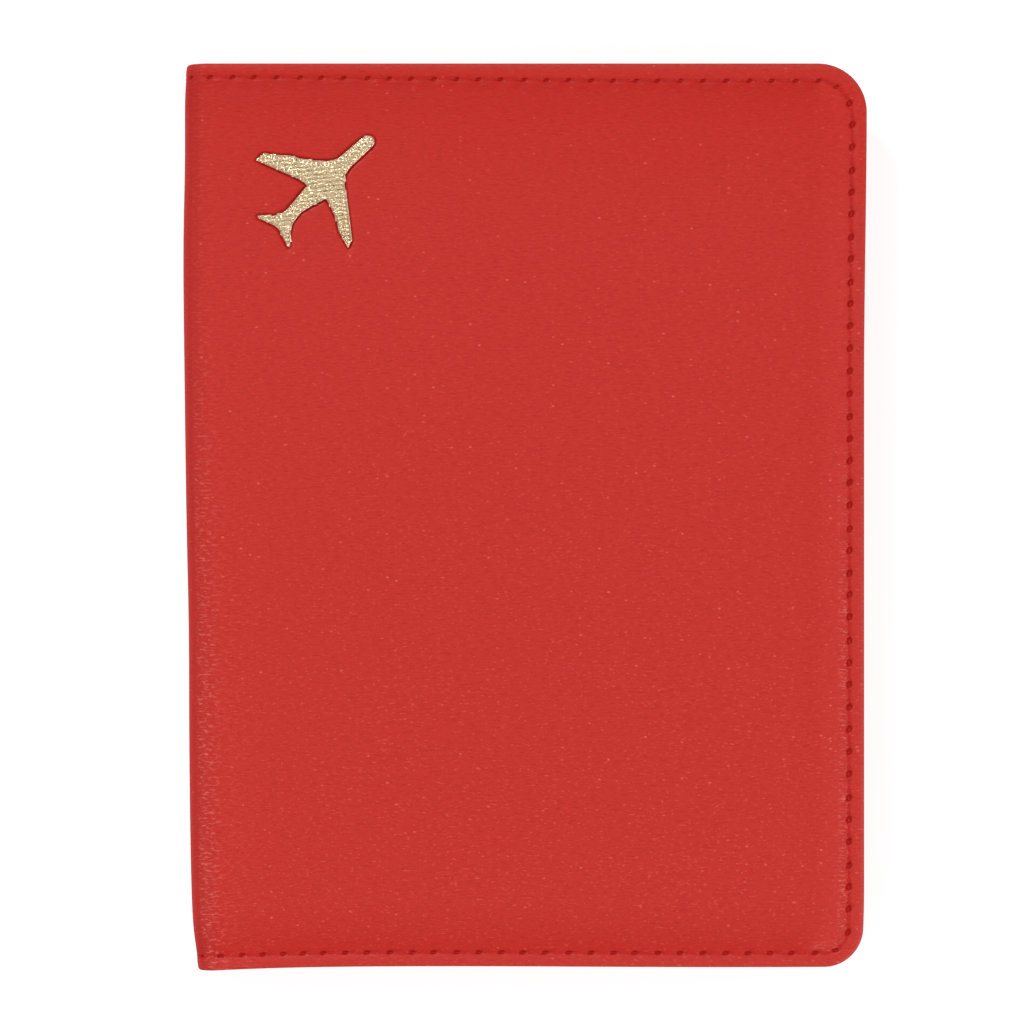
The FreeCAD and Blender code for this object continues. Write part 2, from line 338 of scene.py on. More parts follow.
class Shader:
    """A material's node tree, with short calls for its nodes."""

    def __init__(self, name, roughness, **settings):
        self.material = bpy.data.materials.new(name)
        self.material.use_nodes = True
        self.tree = self.material.node_tree
        self.surface = self.tree.nodes["Principled BSDF"]
        self.surface.inputs["Roughness"].default_value = roughness
        for socket, value in settings.items():
            self.surface.inputs[socket.replace("_", " ")].default_value = value

    def node(self, kind, **links):
        """Adds a node and links or sets its inputs."""
        made = self.tree.nodes.new("ShaderNode" + kind)
        for socket, value in links.items():
            self.feed(made.inputs[socket.replace("_", " ")], value)
        return made

    def feed(self, socket, value):
        if isinstance(value, bpy.types.NodeSocket):
            self.tree.links.new(value, socket)
        else:
            socket.default_value = value

    def attribute(self, name):
        made = self.node("Attribute")
        made.attribute_name = name
        return made

    def place(self, scale, turn=0.0):
        """The scaled plan place, so that a pattern stays on the sheet when it bends."""
        plan = self.attribute("plan").outputs["Vector"]
        return self.node("Mapping", Vector=plan, Scale=scale, Rotation=(0, 0, turn)).outputs["Vector"]

    def noise(self, scale, detail=3.0, roughness=0.55, distortion=0.0, turn=0.0):
        return self.node("TexNoise", Vector=self.place(scale, turn), Scale=1.0, Detail=detail,
                         Roughness=roughness, Distortion=distortion).outputs["Fac"]

    def plan_axis(self, axis):
        """One of the plan's coordinates, in millimetres."""
        return self.node("SeparateXYZ", Vector=self.place((1.0, 1.0, 1.0))).outputs[axis]

    def up_page(self):
        """0 at the tail and 1 at the head."""
        return self.maths("MULTIPLY_ADD", self.plan_axis("Y"), 1 / (2 * HALF_H), 0.5)

    def inset(self):
        """Distance from the outline, in centimetres."""
        edge = self.attribute("inset").outputs["Fac"]
        return self.maths("DIVIDE", edge, 10.0)

    def specks(self, scale, radius, share):
        """Small soft dots, one in each cell, and which of them are chosen to show."""
        cells = self.node("TexVoronoi", Vector=self.place(scale), Scale=1.0, Randomness=1.0)
        dot = self.ramp(cells.outputs["Distance"], (0.0, 1.0), (radius, 0.0))
        pick = self.node("SeparateXYZ", Vector=cells.outputs["Color"]).outputs["X"]
        return dot, self.ramp(pick, (1 - share, 0.0), (0.98, 1.0))

    def ramp(self, value, *stops):
        """A colour ramp given as (place, colour) stops. A plain number as a colour is grey."""
        made = self.node("ValToRGB", Fac=value)
        elements = made.color_ramp.elements
        while len(elements) < len(stops):
            elements.new(1.0)
        for element, (place, colour) in zip(elements, stops):
            element.position = place
            shade = (colour,) * 3 if isinstance(colour, (int, float)) else colour
            element.color = (*shade, 1.0)
        return made.outputs["Color"]

    def maths(self, operation, *values):
        made = self.node("Math")
        made.operation = operation
        for socket, value in zip(made.inputs, values):
            self.feed(socket, value)
        return made.outputs["Value"]

    def times(self, a, b):
        return self.maths("MULTIPLY", a, b)

    def mix(self, factor, a, b, blend="MIX"):
        made = self.node("Mix")
        made.data_type = "RGBA"
        made.blend_type = blend
        self.feed(made.inputs["Factor"], factor)
        for socket, value in (("A", a), ("B", b)):
            plain = isinstance(value, tuple)
            self.feed(made.inputs[socket], (*value, 1.0) if plain else value)
        return next(o for o in made.outputs if o.enabled and o.type == "RGBA")

    def tint(self, a, b):
        return self.mix(1.0, a, b, "MULTIPLY")

    def bump(self, height, distance, below=None):
        made = self.node("Bump", Height=height, Distance=distance)
        if below is not None:
            self.tree.links.new(below, made.inputs["Normal"])
        return made.outputs["Normal"]

    def finish(self, colour, normal, roughness=None):
        self.feed(self.surface.inputs["Base Color"], colour)
        self.feed(self.surface.inputs["Normal"], normal)
        if roughness is not None:
            self.feed(self.surface.inputs["Roughness"], roughness)
        return self.material


def leather_places(s):
    """Distance from the mid-spine in 30 mm, place up the page, inset, and 1 at the fore edge."""
    along = s.plan_axis("X")
    at_fore = s.ramp(s.maths("DIVIDE", along, FORE), (1 - 9 / FORE, 0.0), (1 - 6 / FORE, 1.0))
    return s.maths("DIVIDE", along, 30.0), s.up_page(), s.inset(), at_fore


def crease_marks_and_highlights(s, from_spine, up_page, inset, at_fore):
    """Short crease marks beside the fold, fewer towards the head, and low on the fore edge's seam. The mask
    gives both their bump and a painted highlight along them.
    """
    near_fold = s.ramp(from_spine, (0.17, 0.0), (0.2, 1.0), (0.25, 1.0), (0.32, 0.25), (0.6, 0.0))
    near_fold = s.times(near_fold, s.ramp(up_page, (0.3, 1.0), (0.75, 0.15)))
    near_seam = s.ramp(inset, (0.24, 0.0), (0.28, 1.0), (0.31, 1.0), (0.42, 0.0))
    near_seam = s.times(near_seam, s.times(at_fore, s.ramp(up_page, (0.42, 1.0), (0.6, 0.0))))
    at_fold = s.ramp(s.noise((0.95, 2.6, 2.6), detail=1.0, distortion=0.2), (0.52, 0.0), (0.68, 1.0))
    at_seam = s.ramp(s.noise((1.0, 3.4, 3.4), detail=1.0), (0.52, 0.0), (0.66, 1.0))
    return s.maths("MAXIMUM", s.times(at_fold, near_fold), s.times(at_seam, near_seam))


def rim_painted_light_and_shade(s, inset, at_fore):
    """Painted light and shade across the outline: a painted reflection on the rolled edge, a painted
    highlight on the rim, painted shade in the seam's valley and over the slope and face inside the head and
    foot seams, and a lighter painted face by the fore edge.
    """
    gain = 1.885  # makes a stop of 0.53 leave the colour as it is
    rolled, rim, valley = (0.52, 0.82, 0.88), (0.54, 0.61, 0.63), (0.5, 0.27, 0.23)
    head_rim, head_slope, head_face = (0.53, 0.57, 0.58), (0.5, 0.33, 0.28), (0.51, 0.43, 0.41)
    fore_rim, fore_slope, fore_face = (0.54, 0.56, 0.56), (0.53, 0.55, 0.56), (0.55, 0.6, 0.63)
    at_head = s.ramp(inset, (0.0, rolled), (0.06, rim), (0.16, head_rim), (0.22, valley), (0.27, head_slope),
                     (0.48, head_face), (1.0, 0.53))
    at_side = s.ramp(inset, (0.0, rolled), (0.06, rim), (0.17, fore_rim), (0.22, valley), (0.27, fore_slope),
                     (0.36, fore_face), (1.0, (0.53, 0.54, 0.54)))
    return s.tint(s.mix(at_fore, at_head, at_side), (gain,) * 3)


def needle_hole_shade(s, inset):
    """Strength of the painted shade in a needle hole: 0.8 at its bottom, and 0 on the face and round the
    edge.
    """
    sunk = s.maths("MULTIPLY", s.plan_axis("Z"), -1.0)
    return s.times(s.ramp(sunk, (0.18, 0.0), (0.36, 0.8)), s.ramp(inset, (0.1, 0.0), (0.13, 1.0)))


def leatherette(name, deep, base, light, wrinkle, gloss):
    """Coated leatherette: fine wrinkles across the cover and a fine grain, with painted glints on sparse
    specks and dashes and painted highlights on crease marks by the fold, all in the light colour, and painted
    shade round the outline, in the needle holes, towards the head and on the spine.
    """
    s = Shader(name, gloss, Specular_IOR_Level=0.22)
    from_spine, up_page, inset, at_fore = leather_places(s)
    wrinkles = s.noise((0.8, 3.4, 3.4), detail=4.0, roughness=0.6, distortion=0.5, turn=0.05)
    fine = s.noise((4.5, 7.0, 7.0), detail=3.0)
    creases_and_highlights = crease_marks_and_highlights(s, from_spine, up_page, inset, at_fore)
    # Specks: a small bump each, and the chosen ones are painted as glints.
    speck_bump_and_glint, chosen = s.specks((0.7, 1.1, 1.1), 0.22, 0.21)
    # Painted glints: short dashes, stronger towards the foot.
    glint_dashes = s.ramp(s.noise((1.5, 3.4, 3.4), detail=1.0, distortion=0.3), (0.61, 0.0), (0.8, 0.55))
    glint_dashes = s.times(glint_dashes, s.ramp(up_page, (0.15, 0.85), (0.8, 0.4)))

    grain = s.ramp(wrinkles, (0.34, 0.0), (0.5, 0.7), (0.7, 1.0))
    height = s.maths("ADD", s.times(grain, 0.55), s.times(fine, 0.3))
    height = s.maths("ADD", height, s.times(speck_bump_and_glint, 0.5))
    normal = s.bump(creases_and_highlights, 2.2 * wrinkle * MM, below=s.bump(height, wrinkle * MM))

    tone = s.ramp(wrinkles, (0.3, deep), (0.55, base))
    # Painted glints: the chosen specks in the light colour.
    tone = s.mix(s.times(speck_bump_and_glint, chosen), tone, light)
    # Painted glints: the dashes in the light colour.
    tone = s.mix(glint_dashes, tone, light)
    # Painted highlights on the rolled edge and rim, painted shade in the seam's valley and inside the head
    # and foot seams.
    tone = s.tint(tone, rim_painted_light_and_shade(s, inset, at_fore))
    # Painted shade: the face grows darker towards the head.
    tone = s.tint(tone, s.ramp(up_page, (0.8, 1.0), (0.94, (1.0, 0.8, 0.74))))
    # Painted shade: the bottoms of the needle holes turn dark red.
    tone = s.mix(needle_hole_shade(s, inset), tone, (0.42, 0.003, 0.002))
    # Painted shade on the fold and the spine, darker and redder there.
    tone = s.tint(tone, s.ramp(from_spine, (0.16, (0.88, 0.62, 0.58)), (0.28, 1.0)))
    # Painted highlight along the crease marks, in the light colour.
    tone = s.mix(s.times(creases_and_highlights, 0.6), tone, light)

    rough = s.ramp(wrinkles, (0.35, gloss + 0.06), (0.65, gloss - 0.06))
    rough = s.mix(s.ramp(from_spine, (0.17, 1.0), (0.21, 0.0)), rough, (0.8,) * 3)
    return s.finish(tone, normal, rough)


def woven_cloth(name, dark, light, pitch):
    """A plain-weave lining cloth with threads at the given pitch in millimetres."""
    s = Shader(name, 0.85, Specular_IOR_Level=0.2)
    split = s.node("SeparateXYZ", Vector=s.place((math.pi / pitch,) * 3))
    over = s.times(s.maths("SINE", split.outputs["X"]), s.maths("SINE", split.outputs["Y"]))
    weave = s.maths("MULTIPLY_ADD", over, 0.5, 0.5)
    slub = s.noise((0.25, 3.0, 3.0), detail=3.0)
    tone = s.mix(s.ramp(weave, (0.2, 0.0), (0.9, 1.0)), dark, light)
    tone = s.mix(s.ramp(slub, (0.4, 0.0), (0.75, 0.4)), tone, dark)
    return s.finish(tone, s.bump(weave, 0.09 * MM, s.bump(slub, 0.05 * MM)))


def spun_thread(name, dark, light):
    """Matt sewing thread with fibres along it."""
    s = Shader(name, 0.6, Specular_IOR_Level=0.2)
    fibres = s.noise((3.0, 26.0, 26.0), detail=2.0)
    tone = s.ramp(fibres, (0.3, dark), (0.7, light))
    return s.finish(tone, s.bump(fibres, 0.03 * MM))


def metallic_thread(name):
    """Gold foil thread: narrow foil turns that catch the light unevenly."""
    s = Shader(name, 0.26, Metallic=0.7)
    foil = s.noise((1.1, 6.0, 6.0), detail=2.0, roughness=0.6)
    turns = s.noise((1.4, 1.2, 1.2), detail=1.0)
    dark, gold, bright = (0.42, 0.29, 0.16), (0.79, 0.635, 0.405), (1.0, 0.93, 0.7)
    tone = s.ramp(foil, (0.27, dark), (0.5, gold), (0.7, bright))
    rough = s.ramp(turns, (0.3, 0.2), (0.7, 0.3))
    return s.finish(tone, s.bump(foil, 0.012 * MM, s.bump(turns, 0.12 * MM)), rough)


def pressed_board(name, dark, light):
    """Greyboard or paper. Its nodes have no plan, so it uses their own coordinates."""
    s = Shader(name, 0.9)
    place = s.node("TexCoord").outputs["Object"]
    flecks = s.node("TexNoise", Vector=place, Scale=900.0, Detail=4.0).outputs["Fac"]
    return s.finish(s.ramp(flecks, (0.3, dark), (0.7, light)), s.bump(flecks, 0.05 * MM))


# The third colour of each leatherette is that of its painted glints and highlights.
OUTER_LEATHER = leatherette(
    "outer_leatherette", (0.455, 0.015, 0.01), (0.515, 0.025, 0.018), (0.76, 0.13, 0.1), 0.04, 0.44
)
INNER_LEATHER = leatherette(
    "inner_leatherette", (0.43, 0.015, 0.012), (0.48, 0.022, 0.018), (0.6, 0.07, 0.06), 0.022, 0.5
)
LINING_CLOTH = woven_cloth("lining_cloth", (0.19, 0.008, 0.01), (0.35, 0.02, 0.022), 0.32)
SEAM_THREAD = spun_thread("sewing_thread", (0.47, 0.012, 0.01), (0.6, 0.028, 0.022))
GOLD_THREAD = metallic_thread("gold_thread")
BOARD = pressed_board("stiffening_board", (0.24, 0.22, 0.19), (0.42, 0.39, 0.34))
STABILISER = pressed_board("stabiliser_paper", (0.7, 0.7, 0.68), (0.9, 0.9, 0.88))


# ---- outer leatherette

OUTLINE_STEP = 0.15
HOLE_STEEPNESS = 1.8  # 1 would give the needle holes the sides of a bell curve
RIPPLE_SEEDS = {"front": 5, "back": 6}


def emblem_outline():
    """The aeroplane's corners, in order, read from the CAD node's top face."""
    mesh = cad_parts["plane_embroidery"].data
    top = max(v.co.z for v in mesh.vertices)
    sides = set()
    for polygon in mesh.polygons:
        corners = [mesh.vertices[i].co for i in polygon.vertices]
        if all(abs(c.z - top) < 1e-6 for c in corners):
            places = [(round(c.x / MM, 3), round(c.y / MM, 3)) for c in corners]
            sides.update(zip(places, places[1:] + places[:1]))
    following = {a: b for a, b in sides if (b, a) not in sides}
    loop = [min(following)]
    while following[loop[-1]] != loop[0]:
        loop.append(following[loop[-1]])
    return np.array(loop)


EMBLEM = emblem_outline()


def distance_to_emblem(x, y):
    """Distance from the aeroplane's outline, negative inside it."""
    place = np.stack((x, y), axis=-1)[..., None, :]
    start, end = EMBLEM, np.roll(EMBLEM, -1, axis=0)
    run = end - start
    t = np.clip(((place - start) * run).sum(-1) / (run * run).sum(-1), 0, 1)
    away = np.linalg.norm(place - start - t[..., None] * run, axis=-1).min(-1)
    above = (start[:, 1] > place[..., 1]) != (end[:, 1] > place[..., 1])
    rise = np.where(run[:, 1] == 0, 1e-9, run[:, 1])
    reach = start[:, 0] + (place[..., 1] - start[:, 1]) * run[:, 0] / rise
    inside = (above & (place[..., 0] < reach)).sum(-1) % 2 == 1
    return np.where(inside, -away, away)


def rim_relief(along, inset):
    """Height of the rim and the seam's valley, weaker on the spine."""
    rim = 0.05 * hump(inset, 1.15, 0.5)
    valley = 0.15 * hump(inset, SEAM_INSET, 0.5)
    shoulder = 0.1 * hump(inset, 3.4, 1.3)
    return (rim - valley - shoulder) * (0.35 + 0.65 * smooth(4, 10, along))


def seam_relief(along, y, inset, s, side):
    """Outer face near the seam: its needle holes, and a pucker at each stitch."""
    nearest = np.abs(s[:, None] - HOLES[side]).argmin(1)
    middles, long, half = (part[nearest] for part in SLOTS[side])
    away = np.stack((along, y), axis=-1) - middles
    lengthwise = (away * long).sum(-1) / half[:, 0]
    crosswise = (away[:, 0] * long[:, 1] - away[:, 1] * long[:, 0]) / half[:, 1]
    hole = by_edge(s, 0.34, 0.42, 0.36) * np.exp(-((lengthwise ** 2 + crosswise ** 2) ** HOLE_STEEPNESS))
    pucker = np.cos(2 * math.pi * (s - HOLES[side][nearest]) / STITCH) * hump(inset, SEAM_INSET + 0.2, 1.1)
    return rim_relief(along, inset) - hole - 0.045 * pucker


def face_relief(along, y, side):
    """Outer face away from the seam: its ripple and the dip round the aeroplane."""
    height = rim_relief(along, inset_of(along, y)) + ripple(along, y, RIPPLE_SEEDS[side])
    if side == "front":
        gap = distance_to_emblem(x_of(along), y)
        height = height - 0.12 * hump(gap, 0.0, 0.5) - 0.22 * hump(gap, 0.02, 0.2)
    return height


class OuterSheet:
    """One cover's leatherette with half of the spine, built inwards from rows along its outline."""

    def __init__(self, side):
        self.side = side
        self.parts = MeshParts()
        steps = 8 * round(SEAM_LENGTH / (8 * OUTLINE_STEP))
        self.s = np.linspace(0, SEAM_LENGTH, steps + 1)
        self.base, self.inward = edge_run(self.s)
        self.drift = seam_drift(self.base[:, 0], self.base[:, 1])[:, None]

    def add(self, along, y, height):
        return self.parts.add(wrap(along, y, height, self.side), plan_of(along, y, height))

    def row(self, inset, out, every=1, relief=True):
        """Indices and plan points of a row at an inset from the outline, which follows the seam's drift."""
        shift = smooth(EDGE_ROLL, 1.5, inset) * (1 - smooth(3.3, 5.0, inset)) if relief else 0.0
        place = self.base[::every] + (inset + shift * self.drift[::every]) * self.inward[::every]
        along, y = place.T
        height = np.full(len(along), float(out))
        if relief:
            height = height + seam_relief(along, y, inset, self.s[::every], self.side)
        return self.add(along, y, height), place

    def rim_rows(self):
        """Rows from the turned-in margin, round the rolled edge and over the seam."""
        margin_inset, squareness = 4.0, 0.5
        section = [(margin_inset, -SKIN_T), (margin_inset, -COVER_T), (EDGE_ROLL, -COVER_T)]
        for t in np.linspace(-QUARTER, QUARTER, 9)[1:-1]:
            rise = math.copysign(abs(math.sin(t)) ** squareness, t)
            section.append((EDGE_ROLL * (1 - math.cos(t) ** squareness), COVER_T / 2 * (rise - 1)))
        seam = np.arange(SEAM_INSET - 0.6, SEAM_INSET + 0.65, 0.1)
        rows = [self.row(inset, out, relief=False)[0] for inset, out in section]
        return rows + [self.row(inset, 0)[0] for inset in (EDGE_ROLL, 0.95, 1.3, *seam, 3.05, 3.35)]

    def close_face(self, fine, insets, out, step, relief):
        """Thins a face's rows out and fills it to the middle of the spine."""
        for every, inset in zip((2, 4, 8), insets):
            coarse, place = self.row(inset, out, every, relief)
            self.parts.halve(fine, coarse)
            fine = coarse
        last_y = HALF_H - inset
        ys = np.linspace(-last_y, last_y, round(2 * last_y / step) + 1)[1:-1]
        near = np.arange(step / 2, FLAT_FROM + 2, step / 2)
        far = np.arange(near[-1] + step, FORE - inset, step)
        grid = plan_grid(np.concatenate((near, far)), ys)
        grid = grid[inset_of(grid[:, 0], grid[:, 1]) > inset + 0.45 * step]
        if relief and self.side == "front":
            grid = refine_at_emblem(grid)
        added = np.concatenate((plan_grid([0.0], ys), grid))
        along, y = added.T
        height = np.full(len(added), float(out))
        if relief:
            height = height + face_relief(along, y, self.side)
        index = np.concatenate((fine, self.add(along, y, height)))
        self.parts.faces += [[int(index[i]) for i in t] for t in fill_plan(place, added)]


def outer_leatherette(side):
    """Outer face, rolled edge and turned-in margin, as one closed sheet."""
    sheet = OuterSheet(side)
    rows = sheet.rim_rows()
    sheet.parts.quads(np.stack(rows))
    sheet.close_face(rows[0], (4.4, 4.8, 5.2), -SKIN_T, 3.0, relief=False)
    sheet.close_face(rows[-1], (3.8, 4.4, 5.1), 0.0, 1.0, relief=True)
    return sheet.parts.make(f"{side}_leatherette", OUTER_LEATHER, close=True)


def refine_at_emblem(grid):
    """Puts closer plan points near the aeroplane's edge, so that the sheet can dip there."""
    near, step = 1.1, 0.16
    lows, highs = EMBLEM.min(0) - near, EMBLEM.max(0) + near
    xs, ys = (np.arange(low, high, step) for low, high in zip(lows, highs))
    fine = plan_grid(xs, ys)
    fine = fine[np.abs(distance_to_emblem(fine[:, 0], fine[:, 1])) < near - 0.4]
    fine[:, 0] = along_of(fine[:, 0])
    keep = np.abs(distance_to_emblem(x_of(grid[:, 0]), grid[:, 1])) > near
    return np.concatenate((grid[keep], fine))


# ---- seams

PLY_GAP, THREAD_GAP = 3.7, 1.7  # between the plans of plies and threads, so that no two look alike


def strands(parts, path, normal, radius, turns=0.0, sides=6):
    """Adds a thread round each path of places in metres, of two plies if it has turns."""
    radius = radius * MM
    plies, ply_r, offset = (2, 0.56 * radius, 0.46 * radius) if turns else (1, radius, 0.0)
    tangent = normalised(np.gradient(path, axis=1))
    across = normalised(np.cross(tangent, normal))
    up = np.cross(across, tangent)
    count, steps = path.shape[:2]
    t = np.linspace(0, 1, steps)[None, :, None]
    length = np.cumsum(np.linalg.norm(np.diff(path, axis=1, prepend=path[:, :1]), axis=-1), axis=1) / MM
    taper = np.clip(np.minimum(t, 1 - t) * steps * 0.5 + 0.35, 0, 1)
    around = np.linspace(0, 2 * math.pi, sides, endpoint=False)[None, None, :, None]
    ring = np.cos(around) * up[:, :, None] + np.sin(around) * across[:, :, None]
    for ply in range(plies):
        angle = 2 * math.pi * (turns * t + ply / plies)
        middle = path + offset * (np.cos(angle) * up + np.sin(angle) * across)
        points = middle[:, :, None] + ply_r * taper[..., None] * ring
        place = np.zeros(points.shape)
        place[..., 0] = length[:, :, None]
        place[..., 1] = around[..., 0] * ply_r / MM + PLY_GAP * ply
        place[..., 2] = np.arange(count)[:, None, None] * THREAD_GAP
        for strand in parts.add(points, place):
            parts.quads(strand, closed=True)
            parts.faces += [strand[0][::-1].tolist(), strand[-1].tolist()]


def seam_normal(along, y, side):
    """Outward direction of the outer face at places in the plan."""
    return normalised(wrap(along, y, 1.0, side) - wrap(along, y, 0.0, side))


def stitch_profile(t, crest):
    """Height of a stitch, which comes up out of one hole, lies down and dives into the next."""
    dive = 0.6
    lies = smooth(0, 0.11, t) * smooth(0, 0.09, 1 - t)
    return crest * hump(t, 0.86, 0.1) - dive * (1 - lies)


def stitch_spans(side):
    """Starts and ends of the stitches. The front's thread also has the two across the mid-spine."""
    starts, ends = HOLES[side][:-1], HOLES[side][1:]
    if side == "front":
        first = starts[0]
        starts = np.concatenate(([-first], starts, [SEAM_LENGTH - first]))
        ends = np.concatenate(([first], ends, [SEAM_LENGTH + first]))
    return starts, ends


def seam_places(s, drift=0.0):
    """Plan coordinates of places along the seam, moved inwards by a drift."""
    points, inward = edge_run(s)
    inset = SEAM_INSET + seam_drift(points[..., 0], points[..., 1]) + drift
    place = points + inset[..., None] * inward
    return place[..., 0], place[..., 1]


def needle_thread(side):
    """The stitches on the outer face, each a little askew."""
    clear, sunk = 0.66, 0.23  # from the middle of each hole, and below the face
    starts, ends = stitch_spans(side)
    rng = np.random.default_rng(3)
    t = np.linspace(0, 1, 20)[None, :]
    s = starts[:, None] + clear + (ends - starts - 2 * clear)[:, None] * t
    drift = rng.uniform(-0.03, 0.03, (len(starts), 1))
    along, y = seam_places(s, drift + by_edge(s, -0.16, 0.22, 0.05) * (t - 0.5))
    out = stitch_profile(t, 0.07) - sunk + rng.uniform(-0.02, 0.02, (len(starts), 1))
    parts = MeshParts()
    strands(parts, wrap(along, y, out, side), seam_normal(along, y, side), THREAD_R, turns=3.0)
    return parts.make(f"{side}_seam_thread", SEAM_THREAD)


# ---- inner sheets


def lifted(distance):
    """0 where a sleeve or pocket is sewn down and 1 where it stands off the layer behind it."""
    return smooth(3.0, 8.0, distance)


def sleeve_back(along, y):
    """Depth of a sleeve's hidden face."""
    return LINING_FACE + SEWN_DOWN + (SLEEVE_GAP - SEWN_DOWN) * lifted(inset_of(along, y))


def sleeve_face(along, y):
    return sleeve_back(along, y) + SLEEVE_T


def own_foot(foot):
    """Whether a pocket's foot has a seam of its own."""
    return foot > -HALF_H + 5


def pocket_distance(along, y, foot):
    """Distance from a card pocket's sewn edges: its spine side, its foot and the fore edge."""
    side = along - SLEEVE_START["front"] + 1.0
    distance = np.minimum(side, inset_of(along, y))
    return np.minimum(distance, y - foot + 1.0) if own_foot(foot) else distance


def pocket_back(along, y, foot):
    gap = SEWN_DOWN + (POCKET_GAP - SEWN_DOWN) * lifted(pocket_distance(along, y, foot) * 1.4)
    return sleeve_face(along, y) + gap


def spaced(low, high, step):
    """Positions from low to high, close together near both ends."""
    fine = np.array((0.0, 0.05, 0.14, 0.28, 0.5))
    middle_low, middle_high = low + fine[-1], high - fine[-1]
    count = max(2, round((middle_high - middle_low) / step))
    middle = np.linspace(middle_low, middle_high, count + 1)
    return np.concatenate((low + fine[:-1], middle, (high - fine[:-1])[::-1]))


def sheet_grid(start, low, high, step):
    """Plan coordinates of a grid from start to the fore edge, inside the rounded corners."""
    inset = LINING_INSET
    corner = np.array([0.0, 0.05, 0.14, 0.28, 0.5, 0.8, 1.2, 1.7, 2.3, 3.0, 3.8, 4.7, 5.7, 6.8])
    last = FORE - inset
    middle_high = last - corner[-1]
    first = spaced(start, middle_high, step)
    first = first[first <= middle_high - 0.4]
    columns = np.concatenate((first, (last - corner)[::-1]))
    head_r, tail_r = HEAD_R - inset, TAIL_R - inset
    head_in = np.clip(columns - (last - head_r), 0, head_r)
    tail_in = np.clip(columns - (last - tail_r), 0, tail_r)
    tops = np.minimum(high, HALF_H - inset - head_r + np.sqrt(head_r ** 2 - head_in ** 2))[:, None]
    feet = np.maximum(low, -HALF_H + inset + tail_r - np.sqrt(tail_r ** 2 - tail_in ** 2))[:, None]
    rows = spaced(low, high, step)[None, :]
    y = feet + (tops - feet) * ((rows - low) / (high - low))
    edge = np.minimum(rows - low, high - rows)
    y = np.where(rows < (low + high) / 2, np.minimum(y, feet + edge), y)
    y = np.where(rows > (low + high) / 2, np.maximum(y, tops - edge), y)
    return np.broadcast_to(columns[:, None], y.shape), y


def rounding(along, y, start, low, high, radius):
    """Share of a sheet's thickness at each place of its grid, which falls off round its edges."""
    butted = start == 0  # at the middle of the spine, where the sheet runs on in the other cover's half
    free = np.minimum(y - low, high - y)
    if not butted:
        free = np.minimum(free, along - start)
    away = np.clip(np.minimum(free, inset_of(along, y) - LINING_INSET), 0, radius)
    away[[-1] if butted else [0, -1], :] = 0
    away[:, [0, -1]] = 0
    return np.sqrt(np.clip(1 - (1 - away / radius) ** 2, 0, 1))


def flat_sheet(name, side, material, start, back, thickness, step, relief,
               low=LINING_INSET - HALF_H, high=HALF_H - LINING_INSET):
    """A closed sheet inside a cover. back gives the depth of its face nearest the cover."""
    along, y = sheet_grid(start, low, high, step)
    share = rounding(along, y, start, low, high, thickness / 2)
    middle = back(along, y) + thickness / 2
    near = middle - thickness / 2 * share
    far = middle + (thickness / 2 + relief(along, y)) * share
    parts = MeshParts()
    ends = []
    for depth in (near, far):
        index = parts.add(wrap(along, y, -depth, side), plan_of(along, y, depth))
        parts.quads(index)
        ends.append(index[0])
    if start == 0:
        parts.quads(np.stack(ends))
    return parts.make(name, material, merge=0.002)


def inner_valley(along, y):
    """The shallow valley that the seam pulls into the inner sheets."""
    return -0.1 * hump(inset_of(along, y) - seam_drift(along, y), SEAM_INSET, 0.5)


def lining_sheet(side):
    def back(along, y):
        return np.full(along.shape, COVER_T)

    thickness = LINING_FACE - COVER_T
    return flat_sheet(f"{side}_lining_cloth", side, LINING_CLOTH, 0.0, back, thickness, 0.8, inner_valley)


def sleeve_sheet(side):
    start = SLEEVE_START[side]

    def relief(along, y):
        groove = 0.07 * hump(along - start, SEAM_INSET, 0.4) if side == "back" else 0.0
        return inner_valley(along, y) - groove

    return flat_sheet(f"{side}_sleeve", side, INNER_LEATHER, start, sleeve_back, SLEEVE_T, 0.8, relief)


def pocket_sheet(name, foot, top):
    start = SLEEVE_START["front"]

    def back(along, y):
        return pocket_back(along, y, foot)

    def relief(along, y):
        crease = 0.06 * hump(top - y, 2.2, 0.35)
        groove = 0.07 * hump(along - start, POCKET_SEAM_INSET, 0.4)
        if own_foot(foot):
            groove = groove + 0.07 * hump(y - foot, POCKET_SEAM_INSET, 0.4)
        return inner_valley(along, y) - crease - groove

    return flat_sheet(name, "front", INNER_LEATHER, start, back, POCKET_T, 0.6, relief, low=foot, high=top)


def inner_face(side, along, y):
    """Depth of the face that shows inside a cover."""
    on_sleeve = along > SLEEVE_START[side]
    depth = np.where(on_sleeve, sleeve_face(along, y), LINING_FACE)
    if side == "front":
        for foot, top in POCKETS.values():
            on_pocket = on_sleeve & (y > foot) & (y < top)
            depth = np.where(on_pocket, pocket_back(along, y, foot) + POCKET_T, depth)
    return depth


def inner_stitches(name, side, along, y):
    """Stitches on a cover's inner face, each a row of plan points."""
    t = np.linspace(0, 1, along.shape[1])[None, :]
    crest, dive, end = 0.04, 0.35, 0.15
    lift = crest - dive * (1 - smooth(0, end, t) * smooth(0, end, 1 - t))
    depth = inner_face(side, along, y) + lift
    parts = MeshParts()
    strands(parts, wrap(along, y, -depth, side), -seam_normal(along, y, side), INNER_THREAD_R, turns=2.5)
    return parts.make(name, SEAM_THREAD)


def bobbin_thread(side):
    starts, ends = stitch_spans(side)
    clear = 0.1
    t = np.linspace(0, 1, 14)[None, :]
    s = starts[:, None] + clear + (ends - starts - 2 * clear)[:, None] * t
    return inner_stitches(f"{side}_inner_thread", side, *seam_places(s))


